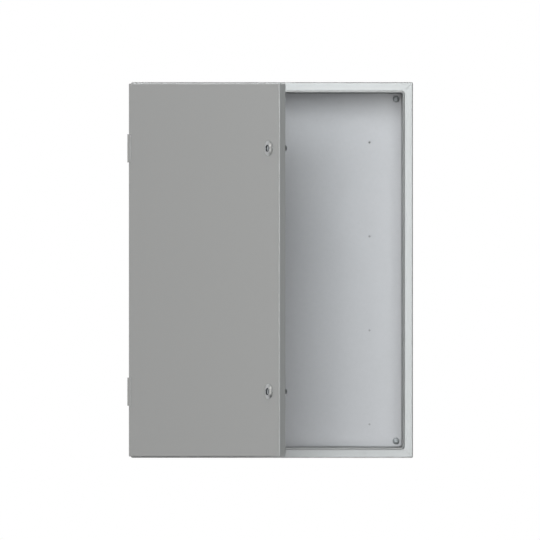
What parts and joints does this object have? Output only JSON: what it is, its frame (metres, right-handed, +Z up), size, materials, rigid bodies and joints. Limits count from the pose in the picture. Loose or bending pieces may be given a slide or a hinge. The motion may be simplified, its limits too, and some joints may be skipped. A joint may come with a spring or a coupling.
{
  "type": "electrical enclosure",
  "caption": "Wall-mounted folded steel electrical enclosure with a hinged door, domed quarter-turn locks, a rain lip round the opening and a galvanised mounting plate inside.",
  "frame": {"origin": "centre of the rear face, midway between the wall bolts", "axes": "+X to the right seen from the front, +Y into the wall, +Z up; the door faces -Y when shut"},
  "size_m": [0.6079, 0.7525, 0.8],
  "materials": {
    "grey_paint": "fine-textured semi-gloss light grey powder coat",
    "galvanised_sheet": "satin galvanised steel sheet",
    "lock_zinc": "satin nickel-plated die-cast zinc",
    "lock_core_zinc": "darker plated die-cast zinc",
    "plated_steel": "zinc-plated steel fasteners",
    "black_foam": "matt foamed-in-place polyurethane",
    "black_rubber": "matt rubber sheet"
  },
  "bodies": {
    "body": {"body_wrapper": "grey_paint", "rear_panel": "grey_paint", "mounting_plate": "galvanised_sheet", "plate_studs": "plated_steel", "plate_spacers": "plated_steel", "plate_nuts": "plated_steel", "gland_plate": "galvanised_sheet", "gland_gasket": "black_rubber", "gland_studs": "plated_steel", "gland_nuts": "plated_steel", "upper_hinge_bracket": "grey_paint", "upper_hinge_pin": "plated_steel", "upper_bracket_screws": "plated_steel", "upper_bracket_nuts": "plated_steel", "lower_hinge_bracket": "grey_paint", "lower_hinge_pin": "plated_steel", "lower_bracket_screws": "plated_steel", "lower_bracket_nuts": "plated_steel", "body_earth_stud": "plated_steel", "body_earth_washer": "plated_steel", "body_earth_nut": "plated_steel"},
    "door": {"door_panel": "grey_paint", "door_gasket": "black_foam", "upper_hinge_leaf": "grey_paint", "upper_leaf_screws": "plated_steel", "lower_hinge_leaf": "grey_paint", "lower_leaf_screws": "plated_steel", "upper_lock_housing": "lock_zinc", "upper_lock_seal": "black_rubber", "upper_lock_nut": "lock_zinc", "lower_lock_housing": "lock_zinc", "lower_lock_seal": "black_rubber", "lower_lock_nut": "lock_zinc", "door_earth_stud": "plated_steel", "door_earth_washer": "plated_steel", "door_earth_nut": "plated_steel"},
    "upper_lock": {"upper_lock_core": "lock_core_zinc", "upper_lock_cam": "plated_steel", "upper_cam_screw": "plated_steel"},
    "lower_lock": {"lower_lock_core": "lock_core_zinc", "lower_lock_cam": "plated_steel", "lower_cam_screw": "plated_steel"}
  },
  "joints": [
    {"name": "door_swing", "type": "hinge", "parent": "body", "child": "door", "pos_m": [-0.30425, -0.2438, 0], "axis": [0, 0, -1], "range_deg": [-57.35, 70]},
    {"name": "upper_lock_turn", "type": "hinge", "parent": "door", "child": "upper_lock", "pos_m": [-0.00721, -0.71886, 0.259], "axis": [0.842, 0.5395, 0], "range_deg": [0, 90]},
    {"name": "lower_lock_turn", "type": "hinge", "parent": "door", "child": "lower_lock", "pos_m": [-0.00721, -0.71886, -0.259], "axis": [0.842, 0.5395, 0], "range_deg": [0, 90]}
  ]
}
